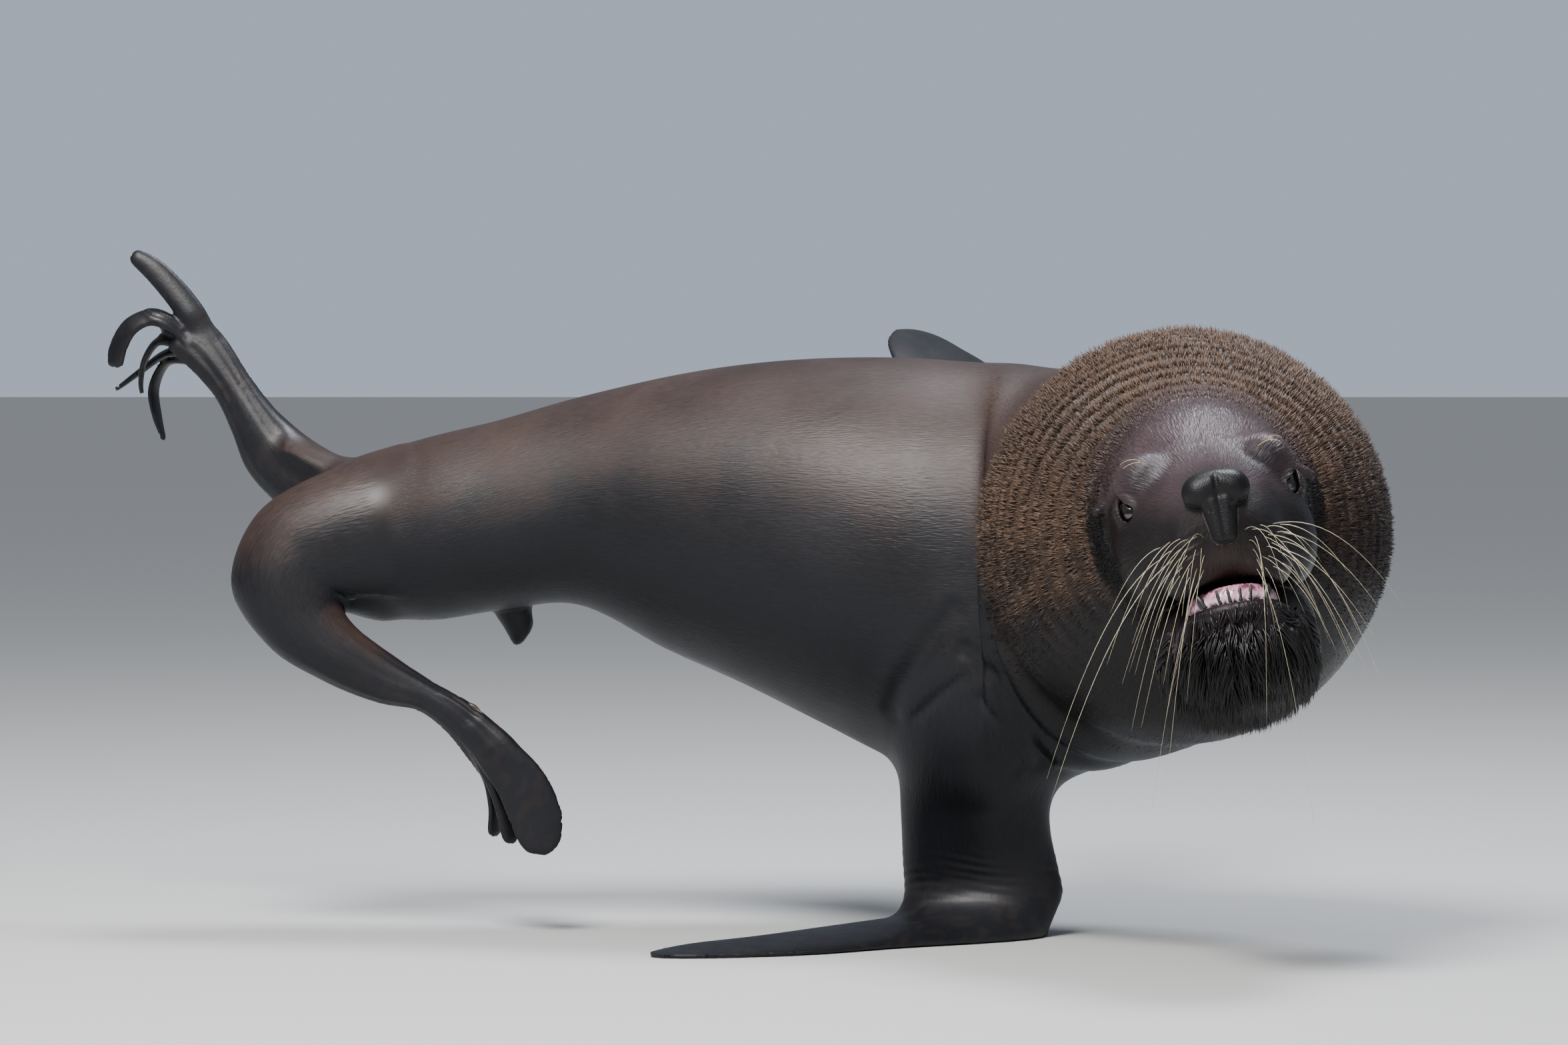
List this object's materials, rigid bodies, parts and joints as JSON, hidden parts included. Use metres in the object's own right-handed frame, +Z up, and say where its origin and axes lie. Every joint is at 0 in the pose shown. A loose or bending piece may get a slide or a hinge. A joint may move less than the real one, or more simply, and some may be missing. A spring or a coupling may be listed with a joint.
{
  "type": "sea lion",
  "caption": "Life-size maned bull sea lion balancing on one fore flipper, trunk level, hind flippers raised, head turned to the side, mouth a little open.",
  "frame": {"origin": "on the floor, in the flat sole of the right fore flipper under the forearm", "axes": "+X the way the trunk points, from the hind flippers to the neck; +Y the animal's left; +Z up"},
  "size_m": [1.7327, 1.4777, 0.921],
  "materials": {
    "coat": "wet short dark brown fur",
    "mane": "coarse brown mane, clumped by water",
    "flipper": "bare wet black skin",
    "nail": "brown horn",
    "gum": "wet pink gum with stained teeth",
    "nose": "bare damp charcoal skin",
    "eye": "wet dark eye"
  },
  "bodies": {
    "root": {"trunk": "coat", "neck": "mane", "forearm_right": "coat", "hand_right": "flipper", "forearm_left": "coat", "hand_left": "flipper", "shank_right": "coat", "foot_right": "flipper", "shank_left": "coat", "foot_left": "flipper", "nail_right_2": "nail", "nail_right_3": "nail", "nail_right_4": "nail", "nail_left_2": "nail", "nail_left_3": "nail", "nail_left_4": "nail", "tail": "coat", "sheath": "coat", "head": "coat", "jaw": "mane", "gum": "gum", "nose": "nose", "eye_left": "eye", "eye_right": "eye", "ear_left": "coat", "ear_right": "coat"}
  },
  "joints": []
}
